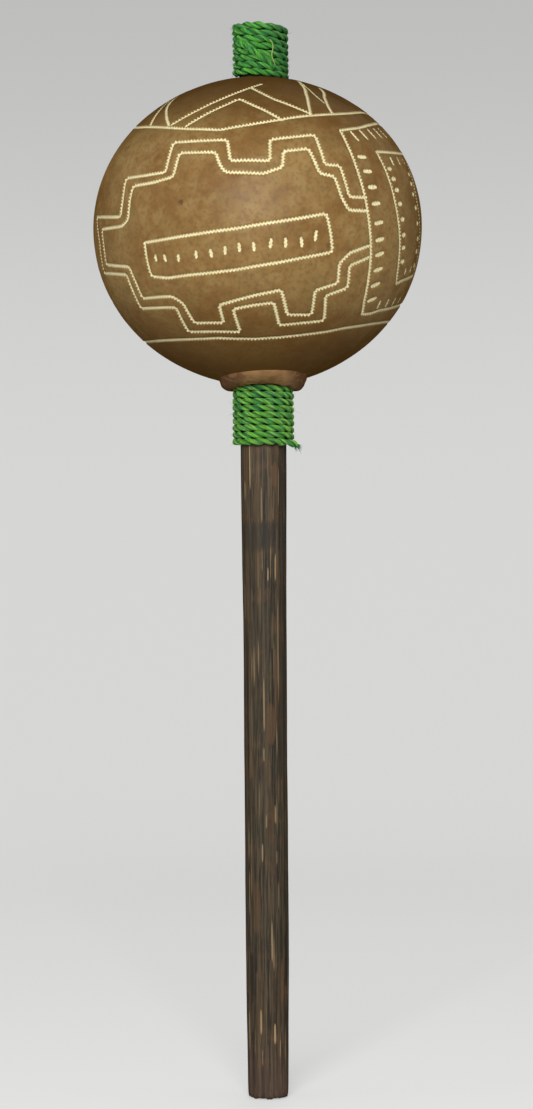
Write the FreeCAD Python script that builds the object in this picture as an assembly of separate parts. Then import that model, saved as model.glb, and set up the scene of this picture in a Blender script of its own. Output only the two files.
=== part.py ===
import FreeCAD, Part
import math
import os

# A gourd rattle on a palm-wood stick, in millimetres.
# The origin is the centre of the stick's foot, and +Z runs along the stick to the head.

overall_length = 450.0

# the stick, from the foot up: a worn foot, a straight grip, the neck and the taper in the head
foot_radius = 8.7
foot_chamfer = 0.8
grip_radius = 9.2
grip_start = 60.0
grip_end = 200.0
neck_radius = 9.8
neck_start = 262.0
neck_end = 308.0
crown_radius = 9.0
crown_start = 418.0

# the gourd: one half ellipse above its widest line and a slightly longer one below it
gourd_radius = 68.9
gourd_rise = 62.6
gourd_drop = 66.0
gourd_wall = 3.5
gourd_centre = (-1.7, 0.0, 364.4)
gourd_lean = 1.2  # degrees, the crown towards -X

# the cord windings: sleeves with one rounded rib for each turn
cord_valley = 0.55
lower_turns = 9
lower_start = 273.0
lower_end = 298.0
lower_radius = 13.15
upper_turns = 8
upper_start = 425.0
upper_end = 449.5
upper_radius = 12.0
tail_radius = 1.45
tail_height = 273.9
tail_reach = 14.9
tail_turn = -18.0  # degrees round the stick from +X, towards the front
tail_droop = 12.0  # degrees below level

# the collar: a moulded ring that seals the stick into the gourd's lower hole
collar_radius = 18.0
collar_shoulder_rise = 3.0  # above the gourd's lowest point
collar_belly_inset = 1.1
collar_belly_rise = 3.4  # above the lip
collar_lip_radius = 14.1
collar_lip_height = 295.9
collar_lip_bevel = 0.2
collar_socket_radius = 13.4
collar_top = 306.0

# the seeds: two rings of loose seeds lying round the stick in the bottom of the gourd
seed_half_length = 3.3
seed_half_width = 2.8
seed_gap = 0.35
seed_rings = ((7, 16.2), (11, 24.4))
seed_scatter = 0.16  # the most that a seed lies off its even place, as a share of the spacing
seed_scatter_step = 2.4  # radians between one seed's drift and the next one's
seed_heading_step = 1.9  # radians between the ways that two neighbours point

up = FreeCAD.Vector(0, 0, 1)
foot = FreeCAD.Vector(0, 0, 0)


def point(x, z):
    return FreeCAD.Vector(x, 0, z)


def revolved(edges):
    """Turns a closed outline in the XZ plane round the Z axis."""
    outline = Part.Wire(Part.__sortEdges__(edges))
    return Part.Face(outline).revolve(foot, up, 360)


def line(start, end):
    return Part.makeLine(start, end)


def arc(start, middle, end):
    return Part.Arc(start, middle, end).toShape()


def polygon(points):
    closed = points + points[:1]
    return [line(a, b) for a, b in zip(closed, closed[1:])]


def gourd_placement():
    lean = FreeCAD.Rotation(FreeCAD.Vector(0, 1, 0), -gourd_lean)
    return FreeCAD.Placement(FreeCAD.Vector(*gourd_centre), lean)


def gourd_form(inset):
    """The solid inside the gourd's surface, or inside a surface that lies deeper by inset."""
    radius = gourd_radius - inset
    edges = []
    for height in (gourd_rise - inset, inset - gourd_drop):
        side = Part.Ellipse(point(radius, 0), point(0, height), foot)
        edges.append(Part.Arc(side, 0, math.pi / 2).toShape())
    edges.append(line(point(0, gourd_rise - inset), point(0, inset - gourd_drop)))
    form = revolved(edges)
    form.Placement = gourd_placement()
    return form


def handle_stick():
    outline = [
        point(0, 0),
        point(foot_radius - foot_chamfer, 0),
        point(foot_radius, foot_chamfer),
        point(grip_radius, grip_start),
        point(grip_radius, grip_end),
        point(neck_radius, neck_start),
        point(neck_radius, neck_end),
        point(crown_radius, crown_start),
        point(crown_radius, overall_length),
        point(0, overall_length),
    ]
    return revolved(polygon(outline))


def gourd_shell():
    shell = gourd_form(0).cut(gourd_form(gourd_wall))
    lower_hole = Part.makeCylinder(neck_radius, neck_end - lower_start, point(0, lower_start), up)
    upper_hole = Part.makeCylinder(crown_radius, overall_length - crown_start, point(0, crown_start), up)
    return shell.cut(lower_hole).cut(upper_hole)


def ribbed_sleeve(bore, outside, bottom, top, turns):
    """A sleeve with a rounded rib for each turn of cord."""
    pitch = (top - bottom) / turns
    valley = outside - cord_valley
    edges = []
    for turn in range(turns):
        low = bottom + turn * pitch
        edges.append(arc(point(valley, low), point(outside, low + pitch / 2), point(valley, low + pitch)))
    edges.append(line(point(valley, top), point(bore, top)))
    edges.append(line(point(bore, top), point(bore, bottom)))
    edges.append(line(point(bore, bottom), point(valley, bottom)))
    return revolved(edges)


def cord_tail():
    """The knotted end of the lower cord, standing out from its last turn."""
    turn = math.radians(tail_turn)
    droop = math.radians(tail_droop)
    start_radius = (neck_radius + lower_radius) / 2
    outward = FreeCAD.Vector(math.cos(turn), math.sin(turn), -math.tan(droop))
    start = FreeCAD.Vector(math.cos(turn) * start_radius, math.sin(turn) * start_radius, tail_height)
    reach = outward * (tail_reach - start_radius)
    stub = Part.makeCylinder(tail_radius, reach.Length, start, outward)
    return stub.fuse(Part.makeSphere(tail_radius, start + reach))


def lower_winding():
    sleeve = ribbed_sleeve(neck_radius, lower_radius, lower_start, lower_end, lower_turns)
    return sleeve.fuse(cord_tail()).removeSplitter()


def upper_winding():
    sleeve = ribbed_sleeve(crown_radius, upper_radius, upper_start, upper_end, upper_turns)
    return sleeve.cut(gourd_form(0))


def neck_collar():
    shoulder = point(collar_radius, gourd_centre[2] - gourd_drop + collar_shoulder_rise)
    belly = point(collar_radius - collar_belly_inset, collar_lip_height + collar_belly_rise)
    lip = point(collar_lip_radius, collar_lip_height)
    inner_lip = point(collar_socket_radius, collar_lip_height + collar_lip_bevel)
    socket_corner = point(collar_socket_radius, lower_end)
    stick_low = point(neck_radius, lower_end)
    stick_high = point(neck_radius, collar_top)
    crest = point(collar_radius, collar_top)
    edges = [arc(shoulder, belly, lip)]
    corners = [lip, inner_lip, socket_corner, stick_low, stick_high, crest, shoulder]
    edges += [line(a, b) for a, b in zip(corners, corners[1:])]
    return revolved(edges).cut(gourd_form(0))


def seed(ring_radius, bearing, heading):
    """One oblong seed, lying on the inside of the gourd at a bearing round its axis."""
    wall_gap = gourd_wall + seed_half_width + seed_gap
    across = gourd_radius - wall_gap
    deep = gourd_drop - wall_gap
    drop = deep * math.sqrt(1 - (ring_radius / across) ** 2)
    lying = FreeCAD.Vector(ring_radius * math.cos(bearing), ring_radius * math.sin(bearing), -drop)
    centre = gourd_placement().multVec(lying)
    side = Part.Ellipse(point(0, seed_half_length), point(seed_half_width, 0), foot)
    edges = [Part.Arc(side, 0, math.pi).toShape(), line(point(0, seed_half_length), point(0, -seed_half_length))]
    body = revolved(edges)
    laid_down = FreeCAD.Rotation(up, FreeCAD.Vector(math.cos(heading), math.sin(heading), 0))
    body.Placement = FreeCAD.Placement(centre, laid_down)
    return body


def seeds():
    made = []
    for count, ring_radius in seed_rings:
        for place in range(count):
            drift = seed_scatter * math.sin(seed_scatter_step * place + count)
            bearing = 2 * math.pi * (place + drift) / count
            heading = bearing + seed_heading_step * place
            made.append(seed(ring_radius, bearing, heading))
    return made


def main():
    os.makedirs("parts", exist_ok=True)
    nodes = {
        "gourd_shell": gourd_shell(),
        "handle_stick": handle_stick(),
        "neck_collar": neck_collar(),
        "lower_winding": lower_winding(),
        "upper_winding": upper_winding(),
    }
    for number, shape in enumerate(seeds(), 1):
        nodes[f"seed_{number:02d}"] = shape
    for name, shape in nodes.items():
        shape.exportStep(f"parts/{name}.step")
        box = shape.BoundBox
        print(f"{name:14s} valid {shape.isValid()} solids {len(shape.Solids)} volume {shape.Volume:9.1f}"
              f" z {box.ZMin:7.2f} to {box.ZMax:7.2f} x {box.XMin:7.2f} to {box.XMax:7.2f}")


main()
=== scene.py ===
import math
import random

import bmesh
import bpy
import numpy as np
from mathutils import Matrix, Vector, kdtree, noise


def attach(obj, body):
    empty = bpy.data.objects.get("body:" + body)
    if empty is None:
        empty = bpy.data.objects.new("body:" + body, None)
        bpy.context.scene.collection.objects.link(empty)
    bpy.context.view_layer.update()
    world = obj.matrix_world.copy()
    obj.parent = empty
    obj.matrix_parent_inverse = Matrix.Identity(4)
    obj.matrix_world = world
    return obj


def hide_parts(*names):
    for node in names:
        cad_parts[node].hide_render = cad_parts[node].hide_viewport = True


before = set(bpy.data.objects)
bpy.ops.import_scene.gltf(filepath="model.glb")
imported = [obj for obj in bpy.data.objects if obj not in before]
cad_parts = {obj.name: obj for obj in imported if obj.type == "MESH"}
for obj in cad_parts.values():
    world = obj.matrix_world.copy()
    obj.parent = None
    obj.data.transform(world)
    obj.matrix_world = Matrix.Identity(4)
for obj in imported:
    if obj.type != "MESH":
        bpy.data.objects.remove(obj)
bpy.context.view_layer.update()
mm = 0.001
print("frame loaded")


def smooth(low, high, value):
    t = np.clip((value - low) / (high - low), 0, 1)
    return t * t * (3 - 2 * t)


def wander(x, y, z, seed=0.0):
    return noise.noise(Vector((x + seed, y - seed, z + 0.5 * seed)))


def wanderVector(p):
    return Vector([wander(p.x, p.y, p.z, seed) for seed in (1.7, 4.3, 6.1)])


def addPiece(name, verts, faces, material, body, node):
    mesh = bpy.data.meshes.new(name)
    mesh.from_pydata([tuple(v) for v in verts], [], faces)
    mesh.validate()
    mesh.shade_smooth()
    mesh.materials.append(material)
    piece = bpy.data.objects.new(name, mesh)
    bpy.context.scene.collection.objects.link(piece)
    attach(piece, body)
    if node:
        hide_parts(node)
    return piece


def ringFaces(rows, around, first=0):
    # quads between rows of points that each go once round
    faces = []
    for row in range(rows - 1):
        a = first + row * around
        for i in range(around):
            j = (i + 1) % around
            faces.append((a + i, a + j, a + around + j, a + around + i))
    return faces


def startMaterial(name):
    material = bpy.data.materials.new(name)
    material.use_nodes = True
    tree = material.node_tree
    tree.nodes.clear()
    output = tree.nodes.new("ShaderNodeOutputMaterial")
    shader = tree.nodes.new("ShaderNodeBsdfPrincipled")
    tree.links.new(shader.outputs[0], output.inputs[0])
    return material, tree, shader, tree.nodes.new("ShaderNodeTexCoord").outputs["Object"]


def addNode(tree, kind, inputs=None, **settings):
    node = tree.nodes.new(kind)
    for key, value in settings.items():
        setattr(node, key, value)
    for key, value in (inputs or {}).items():
        socket = node.inputs[key]
        if isinstance(value, bpy.types.NodeSocket):
            tree.links.new(value, socket)
        else:
            socket.default_value = value
    return node


def mixColour(tree, amount, first, second, blend="MIX"):
    node = addNode(tree, "ShaderNodeMix", data_type="RGBA", blend_type=blend)
    for index, value in ((0, amount), (6, first), (7, second)):
        if isinstance(value, bpy.types.NodeSocket):
            tree.links.new(value, node.inputs[index])
        else:
            node.inputs[index].default_value = value
    return node.outputs[2]


def calc(tree, operation, first, second=0.0, clamp=False):
    inputs = {0: first, 1: second}
    return addNode(tree, "ShaderNodeMath", inputs, operation=operation, use_clamp=clamp).outputs[0]


def plus(tree, first, second):
    return calc(tree, "ADD", first, second)


def minus(tree, first, second):
    return calc(tree, "SUBTRACT", first, second)


def times(tree, first, second):
    return calc(tree, "MULTIPLY", first, second)


def opposite(tree, value, clamp=False):
    return calc(tree, "SUBTRACT", 1.0, value, clamp)


def between(tree, value, low, high):
    # 0 below low, 1 above high, smooth between
    inputs = {"Value": value, "From Min": low, "From Max": high}
    return addNode(tree, "ShaderNodeMapRange", inputs, interpolation_type="SMOOTHSTEP").outputs["Result"]


def window(tree, value, rise, fall):
    # 1 between the two slopes, 0 outside them
    return times(tree, between(tree, value, *rise), opposite(tree, between(tree, value, *fall)))


def layer(tree, base, tone, mask, strength):
    # lays a tone over a colour, in the mask and at a strength
    return mixColour(tree, times(tree, mask, strength), base, (*tone, 1))


def startGroup(name, inputs, outputs):
    group = bpy.data.node_groups.new(name, "ShaderNodeTree")
    for label, kind, value in inputs:
        socket = group.interface.new_socket(label, in_out="INPUT", socket_type=kind)
        if value is not None:
            socket.default_value = value
    for label, kind in outputs:
        group.interface.new_socket(label, in_out="OUTPUT", socket_type=kind)
    return group, group.nodes.new("NodeGroupInput"), group.nodes.new("NodeGroupOutput")


def useGroup(tree, group, inputs):
    node = tree.nodes.new("ShaderNodeGroup")
    node.node_tree = group
    for key, value in inputs.items():
        if isinstance(value, bpy.types.NodeSocket):
            tree.links.new(value, node.inputs[key])
        else:
            node.inputs[key].default_value = value
    return node


def buildMottleGroup():
    # two sizes of soft cloud and a fine speck, all from one position
    inputs = [
        ("Position", "NodeSocketVector", None),
        ("Cloud Scale", "NodeSocketFloat", 60.0),
        ("Patch Scale", "NodeSocketFloat", 250.0),
        ("Speck Scale", "NodeSocketFloat", 1400.0),
    ]
    outputs = [("Cloud", "NodeSocketFloat"), ("Patch", "NodeSocketFloat"), ("Speck", "NodeSocketFloat")]
    group, start, end = startGroup("mottle", inputs, outputs)
    for label, detail in (("Cloud", 3.0), ("Patch", 4.0), ("Speck", 2.0)):
        made = addNode(group, "ShaderNodeTexNoise", {
            "Vector": start.outputs["Position"],
            "Scale": start.outputs[label + " Scale"],
            "Detail": detail,
        })
        group.links.new(made.outputs["Fac"], end.inputs[label])
    return group


def buildFibreGroup():
    # long streaks: the position is squeezed along the fibres, then read by noise
    inputs = [
        ("Position", "NodeSocketVector", None),
        ("Across", "NodeSocketFloat", 1.0),
        ("Along", "NodeSocketFloat", 0.05),
    ]
    outputs = [("Streak", "NodeSocketFloat"), ("Strand", "NodeSocketFloat"), ("Edge", "NodeSocketFloat")]
    group, start, end = startGroup("fibre", inputs, outputs)
    stretch = addNode(group, "ShaderNodeCombineXYZ", {
        0: start.outputs["Across"], 1: start.outputs["Across"], 2: start.outputs["Along"],
    })
    scaled = addNode(group, "ShaderNodeVectorMath", {
        0: start.outputs["Position"], 1: stretch.outputs[0],
    }, operation="MULTIPLY").outputs[0]
    streak = addNode(group, "ShaderNodeTexNoise", {
        "Vector": scaled, "Scale": 1.0, "Detail": 4.0, "Roughness": 0.6,
    })
    strand = addNode(group, "ShaderNodeTexVoronoi", {"Vector": scaled, "Scale": 1.0})
    tone = addNode(group, "ShaderNodeSeparateColor", {0: strand.outputs["Color"]})
    group.links.new(streak.outputs["Fac"], end.inputs["Streak"])
    group.links.new(tone.outputs[0], end.inputs["Strand"])
    group.links.new(strand.outputs["Distance"], end.inputs["Edge"])
    return group


def useMottle(tree, place, cloud, patch, speck):
    scales = {"Cloud Scale": cloud, "Patch Scale": patch, "Speck Scale": speck}
    return useGroup(tree, mottleGroup, {"Position": place, **scales})


def useFibre(tree, place, across, along):
    return useGroup(tree, fibreGroup, {"Position": place, "Across": across, "Along": along})


def finishSurface(tree, shader, colour, gloss, height, strength, distance):
    # colour and roughness, and a bump of a strength and a height in metres
    bump = addNode(tree, "ShaderNodeBump", {"Height": height, "Strength": strength, "Distance": distance})
    tree.links.new(colour, shader.inputs["Base Color"])
    tree.links.new(gloss, shader.inputs["Roughness"])
    tree.links.new(bump.outputs[0], shader.inputs["Normal"])


mottleGroup = buildMottleGroup()
fibreGroup = buildFibreGroup()


# sizes in mm; bearings and heights in degrees on the gourd's own surface, 0 at the front
gourd = {
    "radius": 68.9, "rise": 62.6, "drop": 66.0, "wall": 3.5,
    "centre": (-1.7, 0.0, 364.4), "lean": 1.2,
    "topHole": 9.05, "bottomHole": 9.85,
    "around": 192, "outerRows": 86, "innerRows": 30,
    "lineHalfWidth": 0.61, "thinHalfWidth": 0.57, "cornerReach": 3,
    "toothReach": 0.40, "toothLength": 1.45, "markTeeth": 0.5, "markHalfWidth": 0.72,
    "carveDepth": 0.36, "unevenness": 0.35,
    "backTurn": 196, "spot": (-26.6, 3.5), "sheen": 0.19, "bladeDrift": 0.28,
}

# the stepped medallion: its outer and inner outlines, from the left end over the top and under the bottom
medallionTop = {
    "outer": [(-75, 4), (-54, 1.5), (-53, 8), (-53, 16), (-33.5, 16), (-33, 28.5), (-10.5, 27.5),
              (-9, 18.5), (5, 18), (5.5, 27), (23.5, 29), (24.5, 16.5), (30.5, 16.5), (32.5, 4.5),
              (39.8, 4.5)],
    "inner": [(-68.5, -1.5), (-53, -2), (-49.5, 0), (-49, 7), (-48, 12.5), (-37, 12.7), (-30, 14),
              (-29, 23.5), (-14.5, 22.5), (-12.5, 17), (-10.5, 14), (2.5, 13), (9, 15.5), (10, 22),
              (19.5, 23), (22, 13), (27.5, 12), (29.5, 4), (32, -0.3), (40.4, -0.3)],
}
medallionBottom = {
    "outer": [(-75, 4), (-72.5, -6), (-76, -16.5), (-56, -19), (-56, -25.5), (-56.5, -32), (-36, -33.5),
              (-36, -44), (-10, -45.5), (-11, -35.5), (5.5, -33.5), (8.5, -43), (29.5, -41),
              (26.5, -31), (35.5, -27.5), (34, -19.5), (42.9, -16)],
    "inner": [(-68.5, -1.5), (-68.5, -8), (-70, -14), (-53, -16.5), (-52, -22.5), (-52, -28.5),
              (-36, -29), (-32, -32), (-30.5, -40.5), (-16.5, -41), (-16.5, -33.5), (8, -28.5),
              (11.5, -38.5), (22.5, -38.5), (21.5, -29), (30.5, -26), (29.5, -19), (33.5, -15),
              (42.2, -12)],
}
medallionBar = [(-42.5, -9), (-32, -8.3), (-19, -7.4), (-7.5, -6.5), (7, -4.6), (23.5, -1.8),
                (25.3, -9), (26.3, -15), (7, -18.6), (-8.5, -20.8), (-21, -21.7), (-35, -22.2),
                (-42.5, -21), (-42.7, -15), (-42.5, -9)]
barMarks = [(-38.5, -14.7), (-34.5, -14.9), (-29, -15.4), (-22, -14.7), (-16.5, -14.6), (-11.5, -13.9),
            (-6.5, -13.1), (-1.5, -13), (4.3, -12), (9.3, -11.9), (14.8, -11.7), (19.8, -9.5)]

# the chevrons above the upper border
chevrons = [
    [(-38.5, 37.5), (-22, 48), (-2, 58.5), (5.5, 61.5)],
    [(-2, 58.5), (10, 48.5), (25, 40)],
    [(-30, 36), (-20, 43), (-7.5, 49.5), (4, 42), (11.5, 36)],
    [(-53.5, 39.5), (-57.5, 46), (-62.5, 53), (-72, 61)],
    [(-40, 37.5), (-48, 45), (-60.5, 55.5), (-69, 63)],
    [(55.3, 72.6), (39.2, 63.6), (31, 53.8), (26.9, 45.3), (25, 39)],
    [(55.2, 61.5), (41.9, 51.7), (38.3, 45.6), (37.3, 41)],
]
hairCut = [(42.7, 65), (38.3, 60.7), (36, 52.9), (37.6, 47.1)]

upperBorder = [(-79, 42.5), (-54, 38.6), (-29, 34.4), (-14.1, 32.3), (-4.8, 33.9), (11.4, 36.4),
               (24.1, 38.7), (38.9, 40.7), (67, 45.3), (110, 44), (150, 38), (182, 35), (198, 36),
               (225, 40), (255, 44), (281, 42.5)]
lowerBorder = [(-92, -45), (-61.5, -46.4), (-38.5, -47.4), (-22.3, -47.9), (-12.8, -48.7),
               (-2.5, -49.3), (7.8, -48.9), (18.8, -47.9), (34.9, -45.8), (43.8, -43.9), (60.8, -41.6),
               (88, -38.5), (115, -41), (150, -46.5), (190, -50), (225, -48), (250, -43), (268, -45)]

# the nested panels to the right of the medallion: lines, and the heights of the cuts beside them
panelLines = {
    "outerSide": [(36, 32), (37, 21), (38.3, 10), (40, 0), (42, -11), (44.4, -23), (46.7, -32.5),
                  (49.5, -37.7)],
    "outerTop": [(36, 32), (47, 34), (56, 36.4), (72, 39.8), (96, 40.5)],
    "outerBottom": [(49.5, -37.7), (54.5, -37.5), (61, -35.6), (72.5, -33.7), (90, -31), (110, -29)],
    "innerSide": [(51, 23.7), (52.6, 15.6), (54.2, 6), (56.4, -3.3), (59, -12), (61.7, -21),
                  (64, -24.7)],
    "innerTop": [(51, 23.7), (59.5, 24.2), (80, 26.5)],
    "innerBottom": [(64, -24.7), (69, -23.2), (83, -20)],
    "farInnerSide": [(80, 26.5), (75.5, 13.4), (74.8, 7.5), (76.5, 1.6), (79, -6), (81, -14),
                     (83, -20)],
    "farOuterSide": [(96, 40.5), (98, 25), (101, 8), (105, -10), (110, -29)],
}
panel = {
    "rungs": [20.8, 14.9, 8.7, 2.6, -4.1, -9.8, -14.9, -20.5, -26.1, -31.8],
    "dots": [17, 13.1, 8.9, 3.8, -1.8, -7.2, -11.6, -16.6],
    "rungOffsets": [("outerSide", 4.7), ("farOuterSide", -4.7)],
    "dotOffsets": [("innerSide", 3.2), ("farInnerSide", -3.4)],
    "rungHalfWidth": 0.92, "dotHalfWidth": 1.0, "strokeHalfWidth": 0.66,
    # strokes that hang from each upper line and stand on each lower one: how many, then for each row
    # its first bearing, step, first height, climb, how much the climb slackens, stroke length and slope
    "strokes": [
        (8, (42.5, 6.2, 29.9, 1.25, 0.03, 4.6, -66), (58.0, 6.3, -33.5, 1.2, 0.06, 2.9, 98)),
        (3, (59.4, 6.6, 20.5, 0.8, 0.0, 3.0, -82), (68.7, 5.4, -20.0, 1.3, 0.0, 2.0, 110)),
    ],
}


def surfacePoint(bearing, height, inset=0.0):
    b, h = math.radians(bearing), math.radians(height)
    radius = gourd["radius"] - inset
    rise = (gourd["rise"] if height >= 0 else gourd["drop"]) - inset
    flat = radius * math.cos(h)
    return Vector((flat * math.sin(b), -flat * math.cos(b), rise * math.sin(h)))


class carving:
    # every point of every carved line, with its direction and its distance along the line
    places, directions, distances, widths, teeth, ends = [], [], [], [], [], []
    total = 0.0


def softened(path, reach):
    # each point moves to the middle of its neighbours, so a corner turns as a blade is turned
    moved = []
    for k in range(len(path)):
        near = min(reach, k, len(path) - 1 - k)
        some = path[k - near:k + near + 1]
        moved.append(sum(some, Vector()) / len(some))
    return moved


def carveLine(points, halfWidth=None, teeth=1.0, turn=0.0, taper=0.0):
    halfWidth = halfWidth or gourd["lineHalfWidth"]
    points = [(b + turn, h) for b, h in points]
    path = []
    for (b0, h0), (b1, h1) in zip(points, points[1:]):
        span = (surfacePoint(b1, h1) - surfacePoint(b0, h0)).length
        steps = max(2, int(span / 0.5))
        for k in range(steps):
            t = k / steps
            path.append(surfacePoint(b0 + (b1 - b0) * t, h0 + (h1 - h0) * t))
    path.append(surfacePoint(*points[-1]))
    path = softened(path, gourd["cornerReach"])
    # a hand-held blade drifts a little from side to side
    drift = gourd["bladeDrift"] if teeth else 0.0
    path = [p + drift * wanderVector(p * 0.07) for p in path]
    walked = carving.total
    for k, p in enumerate(path):
        before, after = path[max(k - 1, 0)], path[min(k + 1, len(path) - 1)]
        carving.places.append(p)
        carving.directions.append((after - before).normalized())
        carving.distances.append(walked)
        carving.widths.append(halfWidth * (1 - taper * (1 - math.sin(math.pi * k / (len(path) - 1)))))
        carving.teeth.append(teeth)
        carving.ends.append(-1 if k == 0 else 1 if k == len(path) - 1 else 0)
        walked += (after - p).length
    carving.total = walked + 10


def carveMark(bearing, height, length, slope, halfWidth):
    # a short cut; slope is in degrees, 0 level and 90 upright
    stretch = 1 / (gourd["radius"] * math.cos(math.radians(height)))
    reach = math.degrees(0.5 * length * math.cos(math.radians(slope)) * stretch)
    climb = math.degrees(0.5 * length * math.sin(math.radians(slope)) / gourd["rise"])
    ends = [(bearing - reach, height - climb), (bearing + reach, height + climb)]
    carveLine(ends, halfWidth, gourd["markTeeth"], taper=0.2)


def along(points, height):
    # where a side line stands at a height
    for (b0, h0), (b1, h1) in zip(points, points[1:]):
        if h1 <= height <= h0:
            return b0 + (b1 - b0) * (height - h0) / (h1 - h0)
    return points[-1][0]


def carveMedallion(turn):
    for outline in (medallionTop, medallionBottom):
        for points in outline.values():
            carveLine(points, turn=turn)
    carveLine(medallionBar, gourd["thinHalfWidth"], turn=turn)
    for number, (bearing, height) in enumerate(barMarks):
        tilt = 90 + 8 * math.sin(2.1 * number)
        carveMark(bearing + turn, height, 1.9 + 0.12 * number, tilt, gourd["markHalfWidth"])


def carvePanel(turn, squeeze):
    start = panelLines["outerSide"][0][0]

    def moved(bearing):
        return (bearing - start) * squeeze + start + turn

    for points in panelLines.values():
        carveLine([(moved(bearing), height) for bearing, height in points])
    for number, height in enumerate(panel["rungs"]):
        for side, offset in panel["rungOffsets"]:
            bearing = moved(along(panelLines[side], height) + offset)
            carveMark(bearing, height, 3.7 + 0.06 * number, 2 + 2.1 * number, panel["rungHalfWidth"])
    for height in panel["dots"]:
        for side, offset in panel["dotOffsets"]:
            bearing = moved(along(panelLines[side], height) + offset)
            carveMark(bearing, height, 1.9, 8, panel["dotHalfWidth"])
    for count, *rows in panel["strokes"]:
        for number in range(count):
            for first, step, height, climb, slack, length, slope in rows:
                bearing = moved(first + step * number)
                rise = climb * number * (1 - slack * number)
                carveMark(bearing, height + rise, length, slope, panel["strokeHalfWidth"])


def carveGourd():
    for turn in (0, gourd["backTurn"]):
        carveMedallion(turn)
        for points in chevrons:
            carveLine(points, turn=turn)
        carveLine(hairCut, 0.3, turn=turn)
    carveLine([(82, 45.5), (90, 54), (98, 45.5)])
    carveLine([(78, 45.8), (90, 61), (102, 45)])
    carveLine(upperBorder)
    carveLine(lowerBorder)
    carvePanel(0, 1.0)
    carvePanel(gourd["backTurn"] + 3, 0.5)


def gourdScale(points):
    # how far out each point stands, as a share of the gourd's own surface
    height = np.where(points[:, 2] >= 0, gourd["rise"], gourd["drop"])
    flat = (points[:, 0] ** 2 + points[:, 1] ** 2) / gourd["radius"] ** 2
    return np.sqrt(flat + (points[:, 2] / height) ** 2)


def gourdRows(inset, rows):
    # rings from the top hole down to the bottom one, drawn towards the stick's axis near each hole
    radius, rise, drop = (gourd[key] - inset for key in ("radius", "rise", "drop"))
    lean = math.radians(gourd["lean"])
    topShift = -gourd["centre"][0] + rise * math.sin(lean)
    bottomShift = -gourd["centre"][0] - drop * math.sin(lean)
    start = math.asin(gourd["topHole"] / radius)
    finish = math.pi - math.asin(gourd["bottomHole"] / radius)
    points = []
    for row in range(rows):
        angle = start + (finish - start) * row / (rows - 1)
        ring = radius * math.sin(angle)
        pull = 1 - float(smooth(10, 42, ring))
        shift = pull * (topShift if angle < math.pi / 2 else bottomShift)
        for k in range(gourd["around"]):
            bearing = 2 * math.pi * k / gourd["around"]
            x, y = ring * math.cos(bearing) + shift, ring * math.sin(bearing)
            flat = min(1.0, (x * x + y * y) / radius ** 2)
            height = rise * math.sqrt(1 - flat) if angle < math.pi / 2 else -drop * math.sqrt(1 - flat)
            points.append((x, y, height))
    return points


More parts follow.
